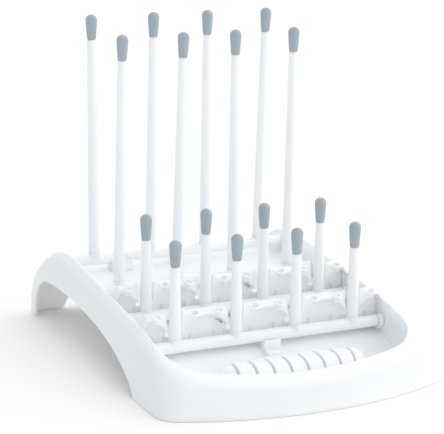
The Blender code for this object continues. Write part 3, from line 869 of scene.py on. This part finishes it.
def tip_profile(top):
    """A soft tip: a rounded head that tapers to its foot, and a blind bore for the peg's stem."""
    foot = top - TIP_LENGTH
    radius = TIP_RADIUS
    head = radius * 0.92
    points = [(0, top)]
    for i in range(1, 11):
        angle = math.radians(90 - 9 * i)
        points.append((radius * math.cos(angle), top - head + head * math.sin(angle)))
    for share in (0.15, 0.3, 0.45, 0.6, 0.75, 0.9, 0.96):
        down = (TIP_LENGTH - head - 0.0006) * share
        points.append((radius - TIP_TAPER * share**1.25, top - head - down))
    bore, bore_top = STEM_RADIUS + TIP_GAP, foot + STEM_LENGTH + TIP_GAP
    points += [(0.0037, foot + 0.0001), (0.0034, foot)]
    points += [(bore, foot), (bore, bore_top), (0, bore_top)]
    return points


def peg_profile(top):
    """A peg: a stem for the tip, a tapering shank, and a spigot for the bar's socket."""
    shoulder = top - TIP_LENGTH - TIP_GAP
    stem_top = shoulder + STEM_LENGTH
    points = [(0, stem_top), (STEM_RADIUS - 0.0004, stem_top), (STEM_RADIUS, stem_top - 0.0004)]
    points += [(STEM_RADIUS, shoulder), (0.0035, shoulder), (0.0038, shoulder - 0.0003)]
    steps = 12
    for i in range(1, steps + 1):
        share = i / steps
        radius = PEG_NECK_RADIUS + (PEG_FOOT_RADIUS - PEG_NECK_RADIUS) * share
        points.append((radius, shoulder + (PEG_FOOT + 0.0020 - shoulder) * share))
    points += [(0.00505, PEG_FOOT + 0.0009), (0.0052, PEG_FOOT + 0.0001)]
    points += [(SPIGOT_RADIUS, PEG_FOOT), (SPIGOT_RADIUS, SPIGOT_FOOT), (0, SPIGOT_FOOT)]
    return points


def row_of_pegs(row):
    """The pegs of a row and their soft tips; the long ones lean a little, each its own way."""
    y, z = BAR[row]
    size, top = ("long", LONG_TOP) if row in LONG_PEG_SPLAY else ("short", SHORT_TOP)
    for column in range(COLUMNS):
        splay = LONG_PEG_SPLAY.get(row, (0,) * COLUMNS)[column]
        lean = Matrix.Rotation(math.radians(splay), 4, "Y")
        place = Matrix.Translation((column_x(column), y, z)) @ lean
        label = f"{row}_{column + 1}"
        body = f"row_{row}"
        verts, faces = lathe(peg_profile(top), 40)
        verts, node = moved(verts, place), f"{size}_peg_{label}"
        piece_from(f"peg_{label}", verts, faces, peg_white, body, [node])
        verts, faces = lathe(tip_profile(top), 40)
        verts, node = moved(verts, place), f"soft_tip_{label}"
        piece_from(f"tip_{label}", verts, faces, grey, body, [node])


for each_row in BAR:
    bar(each_row)
    row_of_pegs(each_row)


# Floor, light and camera -----------------------------------------------------

BRIGHT_SIDE = (0.960, 0.000, 0.280)  # the surround is brightest in this direction
LEAST_LIGHT, MOST_LIGHT = 0.39, 1.55
COOL_WHITE, PURE_WHITE = (0.91, 0.965, 1.0, 1), (1.0, 1.0, 1.0, 1)
CAMERA_PLACE = (-0.5723, -1.1820, 0.4354)
CAMERA_ANGLES = (-25.344, 13.729, 0.773)  # azimuth, elevation and roll in degrees
LENS, SENSOR_WIDTH = 130.76, 36.0


def floor():
    """A plain pale floor, just below the feet."""
    mesh = bpy.data.meshes.new("floor")
    mesh.from_pydata([(-20, -20, 0), (20, -20, 0), (20, 40, 0), (-20, 40, 0)], [], [(0, 1, 2, 3)])
    made = bpy.data.objects.new("floor", mesh)
    bpy.context.scene.collection.objects.link(made)
    made.location.z = -0.0002
    material = bpy.data.materials.new("floor")
    material.use_nodes = True
    shader = material.node_tree.nodes["Principled BSDF"]
    shader.inputs["Base Color"].default_value = (0.985, 0.965, 0.950, 1)
    shader.inputs["Roughness"].default_value = 0.9
    shader.inputs["Specular IOR Level"].default_value = 0.1
    mesh.materials.append(material)


def sun(name, towards, strength, softness):
    """A sun lamp that shines along this direction, with a soft edge to its shadows (degrees)."""
    data = bpy.data.lights.new(name, "SUN")
    data.energy = strength
    data.angle = math.radians(softness)
    made = bpy.data.objects.new(name, data)
    bpy.context.scene.collection.objects.link(made)
    made.location = (0, 0, 1)
    made.rotation_euler = Vector(towards).to_track_quat("-Z", "Y").to_euler()


def studio():
    """A white surround: brighter on the right and above, and a little cooler on the left."""
    world = bpy.data.worlds.new("studio")
    world.use_nodes = True
    nodes, links = world.node_tree.nodes, world.node_tree.links
    where = nodes.new("ShaderNodeTexCoord")
    facing = nodes.new("ShaderNodeVectorMath")
    facing.operation = "DOT_PRODUCT"
    facing.inputs[1].default_value = BRIGHT_SIDE
    links.new(where.outputs["Generated"], facing.inputs[0])
    level = nodes.new("ShaderNodeMapRange")
    level.inputs["From Min"].default_value = -1.0
    level.inputs["To Min"].default_value = LEAST_LIGHT
    level.inputs["To Max"].default_value = MOST_LIGHT
    links.new(facing.outputs["Value"], level.inputs["Value"])
    tint = nodes.new("ShaderNodeMix")
    tint.data_type = "RGBA"
    tint.inputs[MIX_A].default_value = COOL_WHITE
    tint.inputs[MIX_B].default_value = PURE_WHITE
    links.new(facing.outputs["Value"], tint.inputs[MIX_FACTOR])
    links.new(tint.outputs[MIX_RESULT], nodes["Background"].inputs["Color"])
    links.new(level.outputs["Result"], nodes["Background"].inputs["Strength"])
    bpy.context.scene.world = world


def camera():
    """A long lens from the front left, a little above the rack."""
    azimuth, elevation, roll = (math.radians(angle) for angle in CAMERA_ANGLES)
    level = math.cos(elevation)
    back = Vector((math.sin(azimuth) * level, -math.cos(azimuth) * level, math.sin(elevation)))
    right = (-back).cross(Vector((0, 0, 1))).normalized()
    up = right.cross(-back)
    right, up = (
        right * math.cos(roll) + up * math.sin(roll),
        up * math.cos(roll) - right * math.sin(roll),
    )
    data = bpy.data.cameras.new("camera")
    data.lens = LENS
    data.sensor_width = SENSOR_WIDTH
    data.clip_end = 30
    made = bpy.data.objects.new("camera", data)
    bpy.context.scene.collection.objects.link(made)
    turn = Matrix((right, up, back)).transposed().to_4x4()
    made.matrix_world = Matrix.Translation(CAMERA_PLACE) @ turn
    bpy.context.scene.camera = made


floor()
sun("key", (-1.0, 0.20, -0.60), 0.15, 35)
studio()
bpy.context.scene.view_settings.view_transform = "Standard"
bpy.context.scene.view_settings.gamma = 1.3
camera()
